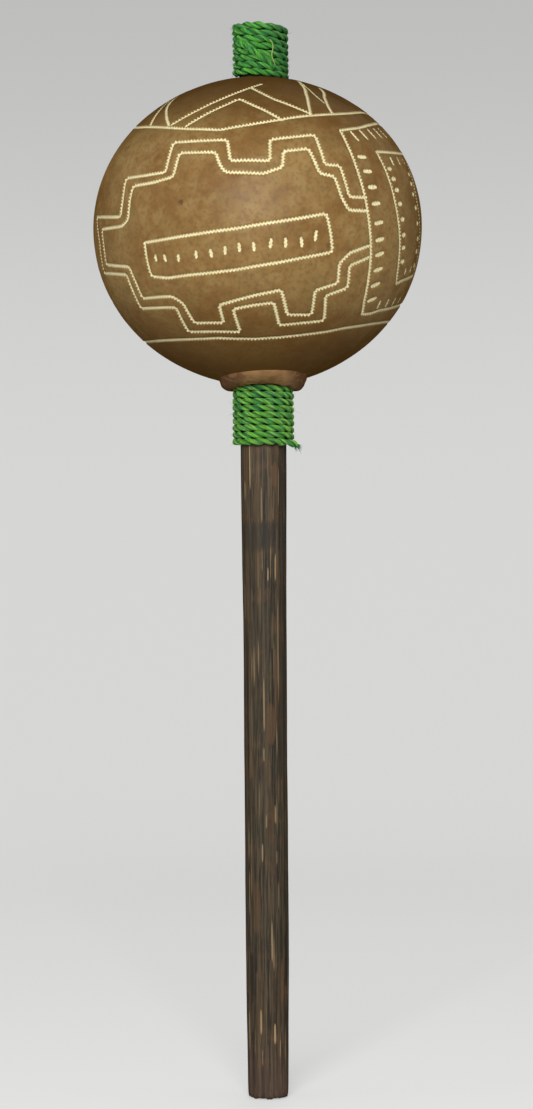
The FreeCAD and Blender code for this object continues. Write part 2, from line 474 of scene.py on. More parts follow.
def buildGourd(material):
    carveGourd()
    tree = kdtree.KDTree(len(carving.places))
    for index, place in enumerate(carving.places):
        tree.insert(place, index)
    tree.balance()

    around, outerRows, innerRows = gourd["around"], gourd["outerRows"], gourd["innerRows"]
    points = gourdRows(0, outerRows) + gourdRows(gourd["wall"], innerRows)
    split = outerRows * around
    faces = [face[::-1] for face in ringFaces(outerRows, around)]
    faces += ringFaces(innerRows, around, split)
    for rim, other in ((0, split), (split - around, split + (innerRows - 1) * around)):
        for i in range(around):
            j = (i + 1) % around
            face = (rim + i, rim + j, other + j, other + i)
            faces.append(face if rim == 0 else face[::-1])
    mesh = bpy.data.meshes.new("gourdDraft")
    mesh.from_pydata(points, [], faces)
    shaped = bmesh.new()
    shaped.from_mesh(mesh)
    bpy.data.meshes.remove(mesh)

    # finer faces only beside the carved lines
    for reach in (2.6, 1.45):
        near = set()
        for face in shaped.faces:
            centre = face.calc_center_median()
            if centre.length > 0.5 * gourd["radius"] and tree.find(centre)[2] < reach:
                near.update(face.edges)
        ordered = [edge for edge in shaped.edges if edge in near]
        bmesh.ops.subdivide_edges(shaped, edges=ordered, cuts=1, use_grid_fill=True)
        places = np.array([v.co for v in shaped.verts])
        scale = gourdScale(places)
        for vert, share in zip(shaped.verts, scale):
            if share > 0.98:
                vert.co /= share
    shaped.normal_update()

    starts = np.array(carving.places)
    directions = np.array(carving.directions)
    widths = np.array(carving.widths)
    ends = np.array(carving.ends)

    def offset(positions, nearest, beyond):
        # distance across the nearest line in units of its half width, and distance along it
        out = positions - starts[nearest]
        normals = starts[nearest] / np.array([gourd["radius"], gourd["radius"], gourd["rise"]]) ** 2
        normals /= np.linalg.norm(normals, axis=1)[:, None]
        side = np.cross(normals, directions[nearest])
        across = (out * side).sum(1)
        forward = (out * directions[nearest]).sum(1)
        # past a line's end the distance is from the end itself, with no sign
        past = np.maximum(forward * ends[nearest], 0)
        across = np.where(beyond, np.hypot(across, past), across)
        return across / widths[nearest], np.array(carving.distances)[nearest] + forward

    def pastEnd(positions, nearest):
        forward = ((positions - starts[nearest]) * directions[nearest]).sum(1)
        return forward * ends[nearest] > 0

    places = np.array([v.co for v in shaped.verts])
    outside = gourdScale(places) > 0.98
    nearest = np.array([tree.find(v.co)[1] for v in shaped.verts])
    across, _ = offset(places, nearest, pastEnd(places, nearest))
    depth = gourd["carveDepth"] * (1 - smooth(0.6, 1.6, np.abs(across)))
    burr = 0.06 * np.exp(-((np.abs(across) - 1.9) / 0.35) ** 2)
    cut = np.where(outside, burr - depth * np.minimum(1, widths[nearest] / 0.7), 0)
    for vert, depthHere, isOutside in zip(shaped.verts, cut, outside):
        if isOutside:
            p = vert.co
            form = gourd["unevenness"] * wander(p.x * 0.022, p.y * 0.022, p.z * 0.022, 3.1)
            form += 0.05 * wander(p.x * 0.15, p.y * 0.15, p.z * 0.15, 8.4)
            edge = float(smooth(14, 30, math.hypot(p.x, p.y)))
            vert.co = p + p.normalized() * (form * edge + float(depthHere))

    mesh = bpy.data.meshes.new("gourdHead")
    shaped.to_mesh(mesh)
    shaped.free()
    corners = len(mesh.loops)
    corner = np.empty(corners, int)
    mesh.loops.foreach_get("vertex_index", corner)
    sizes = np.empty(len(mesh.polygons), int)
    mesh.polygons.foreach_get("loop_total", sizes)
    centres = np.empty(len(mesh.polygons) * 3)
    mesh.polygons.foreach_get("center", centres)
    centres = centres.reshape(-1, 3)
    places = np.empty(len(mesh.vertices) * 3)
    mesh.vertices.foreach_get("co", places)
    places = places.reshape(-1, 3)
    faceNearest = np.array([tree.find(c)[1] for c in centres])
    inner = gourdScale(centres) < 0.975
    cornerNearest = np.repeat(faceNearest, sizes)
    beyond = np.repeat(pastEnd(centres, faceNearest), sizes)
    across, distance = offset(places[corner], cornerNearest, beyond)
    across[np.repeat(inner, sizes)] = 30
    teeth = np.array(carving.teeth)[cornerNearest] * ~beyond
    carve = mesh.attributes.new("carve", "FLOAT_VECTOR", "CORNER")
    values = np.stack([np.clip(across, -30, 30), distance, teeth], axis=1)
    carve.data.foreach_set("vector", values.ravel())

    mesh.shade_smooth()
    mesh.materials.append(material)
    piece = bpy.data.objects.new("gourdHead", mesh)
    bpy.context.scene.collection.objects.link(piece)
    stand = Matrix.Translation(Vector(gourd["centre"]) * mm)
    lean = Matrix.Rotation(-math.radians(gourd["lean"]), 4, "Y")
    mesh.transform(stand @ lean @ Matrix.Scale(mm, 4))
    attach(piece, "maraca")
    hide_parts("gourd_shell")
    print("gourd:", len(mesh.polygons), "faces,", round(carving.total), "mm of carving")
    return piece


def gourdMaterial():
    material, tree, shader, place = startMaterial("dyedGourd")
    mottle = useMottle(tree, place, 34.0, 170.0, 1500.0)
    cloud = between(tree, mottle.outputs["Cloud"], 0.32, 0.70)
    rind = mixColour(tree, cloud, (0.176, 0.088, 0.022, 1), (0.262, 0.160, 0.053, 1))
    patch = between(tree, mottle.outputs["Patch"], 0.45, 0.68)
    rind = layer(tree, rind, (0.290, 0.200, 0.078), patch, 0.45)
    stain = opposite(tree, between(tree, mottle.outputs["Patch"], 0.34, 0.46))
    rind = layer(tree, rind, (0.122, 0.056, 0.018), stain, 0.28)
    fleck = useMottle(tree, place, 75.0, 620.0, 1100.0)
    olive = between(tree, fleck.outputs["Cloud"], 0.50, 0.66)
    rind = layer(tree, rind, (0.204, 0.134, 0.044), olive, 0.45)
    grain = between(tree, fleck.outputs["Patch"], 0.48, 0.62)
    rind = layer(tree, rind, (0.120, 0.064, 0.022), grain, 0.38)
    speck = between(tree, mottle.outputs["Speck"], 0.62, 0.74)
    rind = layer(tree, rind, (0.115, 0.058, 0.022), speck, 0.40)

    # one larger dark spot, up and to the left on the front
    spot = Vector(gourd["centre"]) + surfacePoint(*gourd["spot"])
    inputs = {0: place, 1: spot * mm}
    aside = addNode(tree, "ShaderNodeVectorMath", inputs, operation="DISTANCE").outputs["Value"]
    ragged = times(tree, minus(tree, fleck.outputs["Patch"], 0.5), 0.004)
    aside = plus(tree, aside, ragged)
    mask = opposite(tree, between(tree, aside, 0.0004, 0.0017))
    rind = layer(tree, rind, (0.060, 0.034, 0.020), mask, 0.75)

    # painted shade: darker towards the crown and the base
    height = addNode(tree, "ShaderNodeSeparateXYZ", {0: place}).outputs[2]
    middle = gourd["centre"][2] * mm
    away = calc(tree, "ABSOLUTE", minus(tree, height, middle - 0.001))
    paintedShade = times(tree, between(tree, away, 0.020, 0.060), 0.82)
    rind = mixColour(tree, paintedShade, rind, (0.088, 0.041, 0.009, 1))
    # painted shade: the crown darker still
    crown = between(tree, height, middle + 0.030, middle + 0.060)
    rind = layer(tree, rind, (0.048, 0.025, 0.008), crown, 0.38)

    # scattered small blemishes
    dots = addNode(tree, "ShaderNodeTexVoronoi", {"Vector": place, "Scale": 75.0, "Randomness": 1.0})
    chosen = addNode(tree, "ShaderNodeSeparateColor", {0: dots.outputs["Color"]}).outputs[0]
    disc = opposite(tree, between(tree, dots.outputs["Distance"], 0.03, 0.13))
    blemish = times(tree, disc, calc(tree, "GREATER_THAN", chosen, 0.80))
    rind = layer(tree, rind, (0.075, 0.038, 0.018), blemish, 0.55)

    # the carved lines: a blade rocked from side to side leaves teeth along both edges
    carve = addNode(tree, "ShaderNodeAttribute", attribute_name="carve", attribute_type="GEOMETRY")
    parts = addNode(tree, "ShaderNodeSeparateXYZ", {0: carve.outputs["Vector"]})
    half = gourd["toothLength"] / 2
    tooth = addNode(tree, "ShaderNodeMath", {0: parts.outputs[1], 1: half}, operation="PINGPONG")
    swing = minus(tree, calc(tree, "DIVIDE", tooth.outputs[0], half), 0.5)
    swing = times(tree, swing, 2 * gourd["toothReach"] / gourd["lineHalfWidth"])
    swing = times(tree, swing, parts.outputs[2])
    across = calc(tree, "ABSOLUTE", minus(tree, parts.outputs[0], swing))
    rough = times(tree, minus(tree, mottle.outputs["Speck"], 0.5), 0.5)
    drift = minus(tree, mottle.outputs["Patch"], 0.5)
    rough = plus(tree, rough, times(tree, drift, 0.5))
    across = plus(tree, across, rough)
    cut = opposite(tree, between(tree, across, 0.80, 1.02), clamp=True)
    chalk = between(tree, mottle.outputs["Speck"], 0.35, 0.65)
    pith = mixColour(tree, chalk, (0.60, 0.53, 0.28, 1), (0.84, 0.77, 0.47, 1))
    stroke = between(tree, calc(tree, "ABSOLUTE", swing), 0.15, 0.27)
    pith = layer(tree, pith, (0.42, 0.33, 0.16), stroke, 0.20)
    colour = mixColour(tree, cut, rind, pith)

    gloss = plus(tree, times(tree, mottle.outputs["Patch"], 0.20), 0.40)
    gloss = plus(tree, gloss, times(tree, cut, 0.35))
    height = plus(tree, times(tree, mottle.outputs["Speck"], 0.05),
                  times(tree, mottle.outputs["Patch"], 0.25))
    height = minus(tree, height, times(tree, cut, 0.6))
    finishSurface(tree, shader, colour, gloss, height, 0.5, 0.0003)
    sheen = gourd["sheen"]
    dullRim(tree, shader, minus(tree, sheen, times(tree, paintedShade, sheen)))
    return material


# lengths in mm; the profile is the CAD stick's, and the wood's surface lies within it
stick = {
    "profile": [(0.0, 8.7), (60.0, 9.2), (200.0, 9.2), (262.0, 9.8), (308.0, 9.8), (418.0, 9.0),
                (450.0, 9.0)],
    "around": 150, "rowStep": 1.6,
    "fluteDepth": 0.34, "fluteDensity": 0.42, "fluteRun": 0.008,
    "bow": 0.16, "footWear": 0.9, "crownCut": 1.4,
}


def stickRadius(z):
    for (z0, r0), (z1, r1) in zip(stick["profile"], stick["profile"][1:]):
        if z <= z1:
            return r0 + (r1 - r0) * (z - z0) / (z1 - z0)
    return stick["profile"][-1][1]


def buildStick(material):
    top = stick["profile"][-1][0] - stick["crownCut"]
    around = stick["around"]
    rows = int(top / stick["rowStep"]) + 1
    capRings = 9
    points = []

    def surface(z, bearing, share=1.0):
        radius = stickRadius(z)
        c, s = math.cos(bearing), math.sin(bearing)
        dense = stick["fluteDensity"] * radius
        flute = abs(wander(c * dense, s * dense, z * stick["fluteRun"], 5.0))
        fine = abs(wander(c * dense * 2.3, s * dense * 2.3, z * stick["fluteRun"] * 2, 9.0))
        wave = wander(c * 1.1, s * 1.1, z * 0.018, 2.0)
        hollow = stick["fluteDepth"] * (1.5 * flute + 0.7 * fine) + stick["bow"] * (0.5 + 0.5 * wave)
        # the worn end of the foot
        worn = 0.35 + 0.65 * abs(wander(c * 2.2, s * 2.2, 0, 4.0))
        hollow += stick["footWear"] * math.exp(-z / 1.4) * worn
        radius = (radius - hollow) * share
        return radius * c, radius * s

    def footHeight(bearing, share):
        x, y = share * math.cos(bearing), share * math.sin(bearing)
        torn = 0.5 + 0.5 * wander(x * 3.5, y * 3.5, 0, 6.0) + 0.35 * wander(x * 11, y * 11, 0, 7.0)
        return stick["footWear"] * max(0.0, torn) * (0.45 + 0.55 * share ** 4)

    for ring in range(1, capRings):
        share = ring / capRings
        for k in range(around):
            bearing = 2 * math.pi * k / around
            x, y = surface(0, bearing, share)
            points.append((x, y, footHeight(bearing, share)))
    for row in range(rows):
        z = top * row / (rows - 1)
        for k in range(around):
            bearing = 2 * math.pi * k / around
            lift = footHeight(bearing, 1.0) * math.exp(-z / 1.2)
            x, y = surface(z, bearing)
            points.append((x, y, z + lift))
    for ring in range(capRings - 1, 0, -1):
        share = ring / capRings
        for k in range(around):
            bearing = 2 * math.pi * k / around
            x, y = surface(top, bearing, share)
            points.append((x, y, top - 0.15 * abs(wander(x * 0.8, y * 0.8, 0, 1.0))))
    total = rows + 2 * (capRings - 1)
    faces = ringFaces(total, around)
    foot, crown = len(points), len(points) + 1
    points += [(0, 0, 0.3), (0, 0, top - 0.1)]
    last = (total - 1) * around
    for k in range(around):
        j = (k + 1) % around
        faces.append((foot, j, k))
        faces.append((crown, last + k, last + j))
    verts = [Vector(p) * mm for p in points]
    piece = addPiece("palmStick", verts, faces, material, "maraca", "handle_stick")
    print("stick:", len(faces), "faces")
    return piece


# single streaks on the front: bearing in degrees, low and high end and half width in mm, and strength
streaks = {
    "brown": ((0.120, 0.060, 0.026, 1), [
        (28, 255, 266, 1.30, 0.60), (-52, 252, 274, 1.60, 0.40), (14, 147, 166, 2.20, 0.60),
        (30, 152, 190, 0.90, 0.45), (-45, 133, 144, 1.00, 0.55), (45, 39, 60, 0.90, 0.55),
        (-30, 68, 92, 2.00, 0.45), (12, 105, 128, 1.80, 0.35),
    ]),
    "dark": ((0.012, 0.010, 0.007, 1), [
        (-43, 3, 21, 1.70, 0.65), (43, 3, 24, 0.70, 0.70), (-28, 206, 250, 0.50, 0.35),
        (22, 60, 80, 0.60, 0.60), (-34, 20, 60, 0.70, 0.40), (-58, 150, 200, 1.60, 0.45),
        (55, 120, 240, 2.20, 0.45), (2, 70, 96, 0.50, 0.55),
    ]),
    "pale": ((0.380, 0.260, 0.135, 1), [
        (-37, 254, 275, 0.25, 0.75), (-56, 250, 258, 0.35, 0.45), (-6, 240, 256, 0.43, 0.38),
        (40, 247, 264, 0.28, 0.55), (16, 217, 231, 0.27, 0.32), (29, 216, 228, 0.32, 0.60),
        (9, 216, 222, 0.26, 0.80), (-6, 220, 231, 0.31, 0.30), (-66, 200, 216, 0.31, 0.36),
        (37, 164, 210, 0.20, 0.85), (-4, 153, 176, 0.31, 0.80), (-40, 145, 169, 0.20, 0.34),
        (-5, 141, 147, 0.26, 0.70), (25, 115, 123, 0.43, 0.65), (0, 113, 119, 0.31, 0.50),
        (-11, 99, 107, 0.39, 0.70), (28, 98, 104, 0.31, 0.45), (-53, 76, 96, 0.31, 0.55),
        (33, 79, 91, 0.35, 0.50), (13, 57, 75, 0.27, 0.90), (-19, 27, 38, 0.48, 0.75),
        (20, 23, 32, 0.53, 0.75), (-61, 20, 37, 0.31, 0.65), (36, 17, 25, 0.35, 0.40),
        (-16, 14, 21, 0.31, 0.36),
    ]),
}


def buildStreakGroup():
    # one long streak with pointed ends at a bearing on the stick
    inputs = [
        ("Position", "NodeSocketVector", None),
        ("Bearing", "NodeSocketFloat", 0.0),
        ("Low", "NodeSocketFloat", 0.0),
        ("High", "NodeSocketFloat", 0.01),
        ("Half Width", "NodeSocketFloat", 0.0004),
    ]
    group, start, end = startGroup("streak", inputs, [("Mask", "NodeSocketFloat")])
    parts = addNode(group, "ShaderNodeSeparateXYZ", {0: start.outputs["Position"]})
    front = times(group, parts.outputs[1], -1.0)
    bearing = calc(group, "ARCTAN2", parts.outputs[0], front)
    across = minus(group, bearing, start.outputs["Bearing"])
    across = times(group, across, 0.0093)
    across = calc(group, "DIVIDE", across, start.outputs["Half Width"])
    above = minus(group, parts.outputs[2], start.outputs["Low"])
    span = minus(group, start.outputs["High"], start.outputs["Low"])
    along = minus(group, times(group, calc(group, "DIVIDE", above, span), 2.0), 1.0)
    far = plus(group, times(group, across, across), calc(group, "POWER", along, 4.0))
    mask = minus(group, 1.0, between(group, far, 0.25, 1.15))
    group.links.new(mask, end.inputs["Mask"])
    return group


def dullRim(tree, shader, level):
    # a dry surface loses its sheen where it turns away
    turned = addNode(tree, "ShaderNodeLayerWeight", {"Blend": 0.5}).outputs["Facing"]
    kept = opposite(tree, between(tree, turned, 0.25, 0.80))
    tree.links.new(times(tree, kept, level), shader.inputs["Specular IOR Level"])


def palmMaterial():
    material, tree, shader, place = startMaterial("palmWood")
    broad = useFibre(tree, place, 560.0, 5.5)
    fine = useFibre(tree, place, 1100.0, 42.0)
    hair = useFibre(tree, place, 2300.0, 75.0)
    mottle = useMottle(tree, place, 30.0, 130.0, 900.0)
    band = between(tree, broad.outputs["Streak"], 0.42, 0.56)
    wood = mixColour(tree, band, (0.016, 0.013, 0.008, 1), (0.062, 0.040, 0.020, 1))
    olive = between(tree, mottle.outputs["Cloud"], 0.46, 0.62)
    wood = layer(tree, wood, (0.038, 0.033, 0.018), olive, 0.55)
    rust = between(tree, mottle.outputs["Patch"], 0.52, 0.68)
    wood = layer(tree, wood, (0.098, 0.049, 0.024), rust, 0.45)
    light = between(tree, fine.outputs["Streak"], 0.50, 0.68)
    wood = layer(tree, wood, (0.092, 0.062, 0.031), light, 0.60)
    dark = opposite(tree, between(tree, fine.outputs["Streak"], 0.34, 0.48))
    wood = layer(tree, wood, (0.016, 0.013, 0.009), dark, 0.60)
    thread = between(tree, hair.outputs["Strand"], 0.72, 0.95)
    wood = layer(tree, wood, (0.148, 0.108, 0.060), thread, 0.36)
    seam = between(tree, hair.outputs["Streak"], 0.54, 0.70)
    wood = layer(tree, wood, (0.014, 0.011, 0.008), seam, 0.60)
    # pale vascular bundles, cut at the surface into thin dashes
    core = opposite(tree, between(tree, fine.outputs["Edge"], 0.18, 0.46))
    chosen = times(tree, core, between(tree, fine.outputs["Strand"], 0.88, 0.95))
    wood = layer(tree, wood, (0.270, 0.178, 0.088), chosen, 0.60)

    streakGroup = buildStreakGroup()
    worn = plus(tree, times(tree, fine.outputs["Streak"], 0.8), 0.55)
    for tone, places in streaks.values():
        for bearing, low, high, half, strength in places:
            streak = useGroup(tree, streakGroup, {
                "Position": place, "Bearing": math.radians(bearing),
                "Low": low * mm, "High": high * mm, "Half Width": half * mm,
            })
            mask = times(tree, streak.outputs["Mask"], worn)
            wood = mixColour(tree, calc(tree, "MULTIPLY", mask, strength, clamp=True), wood, tone)

    # a stained band below the lower winding, painted shade over the middle of the stick and a reddish foot
    height = addNode(tree, "ShaderNodeSeparateXYZ", {0: place}).outputs[2]
    ragged = times(tree, minus(tree, fine.outputs["Streak"], 0.5), 0.012)
    ragged = plus(tree, height, ragged)
    band = window(tree, ragged, (0.2275, 0.2315), (0.2395, 0.2425))
    wood = layer(tree, wood, (0.020, 0.018, 0.014), band, 0.50)
    # painted shade: the middle of the stick a little darker
    paintedMidShade = window(tree, height, (0.045, 0.090), (0.165, 0.200))
    wood = layer(tree, wood, (0.014, 0.011, 0.006), paintedMidShade, 0.22)
    red = opposite(tree, between(tree, height, 0.0, 0.035))
    wood = layer(tree, wood, (0.100, 0.054, 0.042), red, 0.30)
    # painted shade: the wood is painted almost black wherever cord is wound on it, for the shade between
    # the turns
    underCordShade = window(tree, height, (0.2742, 0.2748), (0.300, 0.310))
    upper = window(tree, height, (0.4200, 0.4260), (0.4479, 0.4482))
    underCordShade = calc(tree, "ADD", underCordShade, upper, clamp=True)
    wood = mixColour(tree, underCordShade, wood, (0.004, 0.018, 0.005, 1))
    gloss = plus(tree, times(tree, fine.outputs["Streak"], 0.25), 0.42)
    height = times(tree, fine.outputs["Streak"], 0.7)
    height = plus(tree, height, times(tree, hair.outputs["Streak"], 0.5))
    finishSurface(tree, shader, wood, gloss, height, 1.0, 0.0006)
    dullRim(tree, shader, 0.22)
    return material


# lengths in mm; ply is the size of one of the two strands, lay the length of one full twist
cord = {"plyRadius": 0.92, "plyOffset": 0.60, "lay": 10.4, "sides": 14, "step": 0.45, "fibreBump": 0.09}

# level is how much of each turn's climb happens behind; slant lifts the rows' left sides
lowerWinding = {
    "node": "lower_winding", "centreRadius": 11.55, "start": 274.1, "pitch": 2.8, "turns": 8.85,
    "level": 0.7, "slant": 0.15, "drift": 0.09, "swell": 0.12, "seed": 11.0, "strays": 110,
    "startBearing": -55, "tailTurn": 37, "tailReach": 3.3, "tailDroop": 1.6,
}
upperWinding = {
    "node": "upper_winding", "centreRadius": 10.3, "start": 426.6, "pitch": 2.75, "turns": 8.05,
    "level": 0.3, "slant": 1.1, "drift": 0.26, "swell": 0.20, "seed": 23.0, "strays": 140,
    "startBearing": 110, "tailTurn": 0, "tailReach": 0, "tailDroop": 0,
}


def gourdSkin(x, y, upper):
    # height of the gourd's outer surface above or below a point beside the stick
    lean = math.radians(gourd["lean"])
    reach = gourd["rise"] if upper else -gourd["drop"]
    across = x - gourd["centre"][0] + reach * math.sin(lean)
    flat = (across ** 2 + y ** 2) / gourd["radius"] ** 2
    return gourd["centre"][2] + reach * math.sqrt(max(0.0, 1 - flat)) + across * math.sin(lean)


def windingPath(winding):
    count = int(winding["turns"] * 2 * math.pi * winding["centreRadius"] / cord["step"])
    path = []
    tailSteps = 24 if winding["tailTurn"] else 0
    for k in range(tailSteps, 0, -1):
        # the free end lies along the first turn, then leaves it and droops
        t = k / tailSteps
        bearing = math.radians(winding["startBearing"] + winding["tailTurn"] * t)
        radius = winding["centreRadius"] + 0.2 * t + winding["tailReach"] * t ** 1.6
        outward = Vector((math.cos(bearing), math.sin(bearing), 0))
        z = winding["start"] - winding["tailDroop"] * t ** 3
        path.append((outward * radius + Vector((0, 0, z)), outward))
    for k in range(count + 1):
        turned = winding["turns"] * k / count
        bearing = math.radians(winding["startBearing"]) - 2 * math.pi * turned
        c, s = math.cos(bearing), math.sin(bearing)
        drift = winding["drift"] * wander(c * 1.3, s * 1.3, turned * 0.9, winding["seed"])
        swell = winding["swell"] * wander(c * 1.6, s * 1.6, turned * 1.4, winding["seed"] + 5)
        radius = winding["centreRadius"] + swell
        # sin of the bearing from the front: the climb waits there and catches up behind
        climb = turned + winding["level"] * math.sin(bearing + math.pi / 2) / (2 * math.pi)
        slant = winding["slant"] * (0.3 + 0.7 * math.sin(math.pi * k / count))
        z = winding["start"] + winding["pitch"] * climb + 2 * drift - slant * c
        if winding is upperWinding:
            z = max(z, gourdSkin(c * radius, s * radius, True) + 1.15)
        path.append((Vector((c * radius, s * radius, z)), Vector((c, s, 0))))
    return path


def twistCord(path, taper=0, seed=0.0, phase=0.0):
    # two strands twisted round a path of (point, outward direction)
    # lays holds each point's place in its strand as if untwisted, for the fibres of the material
    points, faces, lays = [], [], []
    sides = cord["sides"]
    walked = [0.0]
    for (a, _), (b, _) in zip(path, path[1:]):
        walked.append(walked[-1] + (b - a).length)
    for ply in range(2):
        first = len(points)
        for k, (centre, outward) in enumerate(path):
            ahead = (path[min(k + 1, len(path) - 1)][0] - path[max(k - 1, 0)][0]).normalized()
            outward = (outward - ahead * outward.dot(ahead)).normalized()
            across = ahead.cross(outward)
            uneven = 0.7 * wander(walked[k] * 0.06, 3.0, 0, seed)
            turn = phase + math.pi * ply + 2 * math.pi * walked[k] / cord["lay"] + uneven
            slim = 1.0
            if taper:
                slim = min(1.0, 0.35 + 0.65 * min(walked[k], walked[-1] - walked[k]) / taper)
            plump = 1 + 0.16 * wander(walked[k] * 0.22, ply * 7.0, 0, seed)
            offset = (outward * math.cos(turn) + across * math.sin(turn)) * cord["plyOffset"] * slim
            for i in range(sides):
                angle = 2 * math.pi * i / sides
                spin = angle - turn
                ridge = wander(math.cos(spin) * 2.2 + 5 * ply, math.sin(spin) * 2.2, walked[k] * 0.12, seed)
                radius = (cord["plyRadius"] * plump + cord["fibreBump"] * ridge * 1.6) * slim
                out = outward * math.cos(angle) + across * math.sin(angle)
                points.append(centre + offset + out * radius)
                lays.append((math.cos(spin) + 4 * ply, math.sin(spin), walked[k]))
        faces += ringFaces(len(path), sides, first)
        for end, order in ((first, -1), (first + (len(path) - 1) * sides, 1)):
            faces.append(tuple(range(end, end + sides))[::order])
    return points, faces, lays


def strayFibre(start, direction, curl, length, thickness):
    # a hair-thin fibre: a four-sided tube that bends away and narrows
    points, faces = [], []
    rows, sides = 7, 4
    side = direction.cross(curl).normalized()
    for row in range(rows):
        t = row / (rows - 1)
        centre = start + direction * length * t + curl * length * 0.45 * t * t
        radius = thickness * (1 - 0.75 * t)
        for i in range(sides):
            angle = 2 * math.pi * i / sides
            points.append(centre + (side * math.cos(angle) + curl.normalized() * math.sin(angle)) * radius)
    faces += ringFaces(rows, sides)
    faces.append(tuple(range(sides))[::-1])
    faces.append(tuple(range((rows - 1) * sides, rows * sides)))
    return points, faces


def gather(parts):
    points, faces, lays = [], [], []
    for part in parts:
        first = len(points)
        points += part[0]
        faces += [tuple(first + i for i in face) for face in part[1]]
        if len(part) > 2:
            lays += part[2]
        else:
            lays += [(9.0 + 0.1 * (k % 5), 0.3, 3.0 * (first % 97)) for k in range(len(part[0]))]
    return points, faces, lays


def buildWinding(name, winding, material, extra=()):
    pick = random.Random(int(winding["seed"]))
    path = windingPath(winding)
    parts = [twistCord(path, taper=2.0, seed=winding["seed"])]
    parts += extra
    for _ in range(winding["strays"]):
        centre, outward = path[pick.randrange(12, len(path) - 12)]
        ahead = Vector((-outward.y, outward.x, 0)) * pick.choice((-1, 1))
        start = centre + outward * (cord["plyRadius"] + cord["plyOffset"] - 0.25)
        direction = ahead + outward * pick.uniform(0.1, 0.45) + Vector((0, 0, pick.uniform(-0.6, 0.6)))
        direction.normalize()
        curl = (outward * pick.uniform(-0.5, 0.25) + Vector((0, 0, pick.uniform(-1, 1)))).normalized()
        parts.append(strayFibre(start, direction, curl, pick.uniform(1.4, 4.0), pick.uniform(0.05, 0.10)))
    points, faces, lays = gather(parts)
    verts = [p * mm for p in points]
    piece = addPiece(name, verts, faces, material, "maraca", winding["node"])
    lay = piece.data.attributes.new("lay", "FLOAT_VECTOR", "POINT")
    lay.data.foreach_set("vector", np.array(lays, float).ravel())
    print(name + ":", len(faces), "faces")
    return piece


lowerEnd = {"frays": 46, "fraySpan": 2.4}


def frayedTip():
    # the cut end of the lower cord opens into a small brush of fibres
    path = windingPath(lowerWinding)
    tip, outward = path[0]
    ahead = (path[0][0] - path[2][0]).normalized()
    pick = random.Random(5)
    parts = []
    for _ in range(lowerEnd["frays"]):
        spread = Vector((pick.uniform(-1, 1), pick.uniform(-1, 1), pick.uniform(-1, 0.6)))
        direction = (ahead + spread * 0.6).normalized()
        curl = Vector((pick.uniform(-0.4, 0.4), pick.uniform(-0.4, 0.4), pick.uniform(-1, 0.1)))
        curl.normalize()
        start = tip + spread * 0.75 - ahead * 0.9
        span = pick.uniform(1.2, lowerEnd["fraySpan"])
        points, faces = strayFibre(start, direction, curl, span, pick.uniform(0.10, 0.18))
        parts.append((points, faces, [(-40.0, 0.3, 0.1 * k) for k in range(len(points))]))
    return parts


# the last pass of the upper cord crosses the others from the upper left down to the right
upperPass = {"fromBearing": -158, "toBearing": -48, "fromHeight": 444.0, "toHeight": 428.6, "radius": 11.0}
paleFibre = {"bearing": -70, "swing": 9, "top": 441.5, "bottom": 431.0, "radius": 12.25, "thickness": 0.16}


def crossingPass():
    path = []
    steps = 70
    for k in range(steps + 1):
        t = k / steps
        turn = upperPass["toBearing"] - upperPass["fromBearing"]
        bearing = math.radians(upperPass["fromBearing"] + turn * t)
        height = upperPass["fromHeight"] + (upperPass["toHeight"] - upperPass["fromHeight"]) * t
        sink = 1.3 * (1 - math.sin(math.pi * t) ** 0.5)
        outward = Vector((math.cos(bearing), math.sin(bearing), 0))
        path.append((outward * (upperPass["radius"] - sink) + Vector((0, 0, height)), outward))
    return [twistCord(path, taper=4.0, seed=31.0)]


def paleThread():
    points, faces = [], []
    rows, sides = 26, 6
    for row in range(rows):
        t = row / (rows - 1)
        bearing = math.radians(paleFibre["bearing"] + paleFibre["swing"] * (t + 0.35 * math.sin(7 * t)))
        height = paleFibre["top"] + (paleFibre["bottom"] - paleFibre["top"]) * t
        radius = paleFibre["radius"] - 0.5 * (2 * t - 1) ** 2
        outward = Vector((math.cos(bearing), math.sin(bearing), 0))
        side = Vector((-outward.y, outward.x, 0))
        for i in range(sides):
            angle = 2 * math.pi * i / sides
            wide = (outward * math.cos(angle) + side * math.sin(angle)) * paleFibre["thickness"]
            points.append(outward * radius + Vector((0, 0, height)) + wide)
    faces = ringFaces(rows, sides)
    faces.append(tuple(range(sides)))
    faces.append(tuple(range((rows - 1) * sides, rows * sides))[::-1])
    faces = [face[::-1] for face in faces]
    return [(points, faces, [(40.0, 0.0, 0.1 * k) for k in range(len(points))])]


